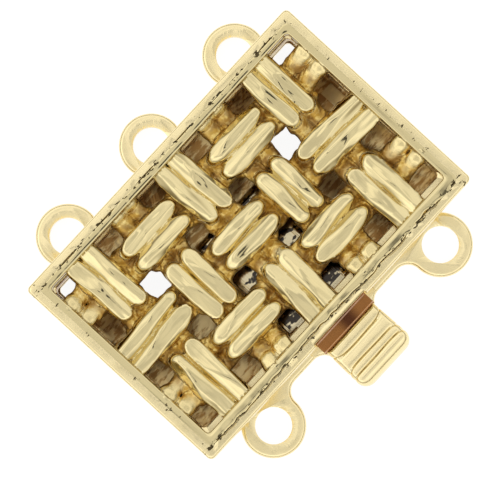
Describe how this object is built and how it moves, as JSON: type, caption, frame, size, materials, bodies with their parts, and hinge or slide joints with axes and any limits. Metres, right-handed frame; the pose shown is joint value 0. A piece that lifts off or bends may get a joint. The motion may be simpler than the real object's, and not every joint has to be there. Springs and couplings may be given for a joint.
{
  "type": "box clasp",
  "caption": "Gold-coloured box clasp for several strands, fastened, with a pierced basketweave top, round strand loops on both sides and a ribbed thumb piece that presses down.",
  "frame": {"origin": "centre of the back plate's outer face, without its loops", "axes": "+Z out of the woven top, +X from the box towards the thumb piece, +Y along the long side"},
  "size_m": [0.0193, 0.0204, 0.0041],
  "materials": {
    "cast_gold": "cast brass, pale gold plated, bright on the strands and grainy between them",
    "polished_gold": "polished brass, pale gold plated",
    "bright_leaf": "rolled spring metal, bright plated"
  },
  "bodies": {
    "box": {"woven_top": "cast_gold", "case_wall": "polished_gold", "back_plate": "polished_gold", "tongue_plate": "polished_gold"},
    "lever": {"tongue_leaf": "bright_leaf", "thumb_piece": "polished_gold"}
  },
  "joints": [
    {"name": "lever_press", "type": "hinge", "parent": "box", "child": "lever", "pos_m": [-0.0013, 0, 0.00115], "axis": [0, 1, 0], "range_deg": [0, 5], "stiffness_Nm_per_rad": 0.3, "springref_deg": -0.57}
  ]
}
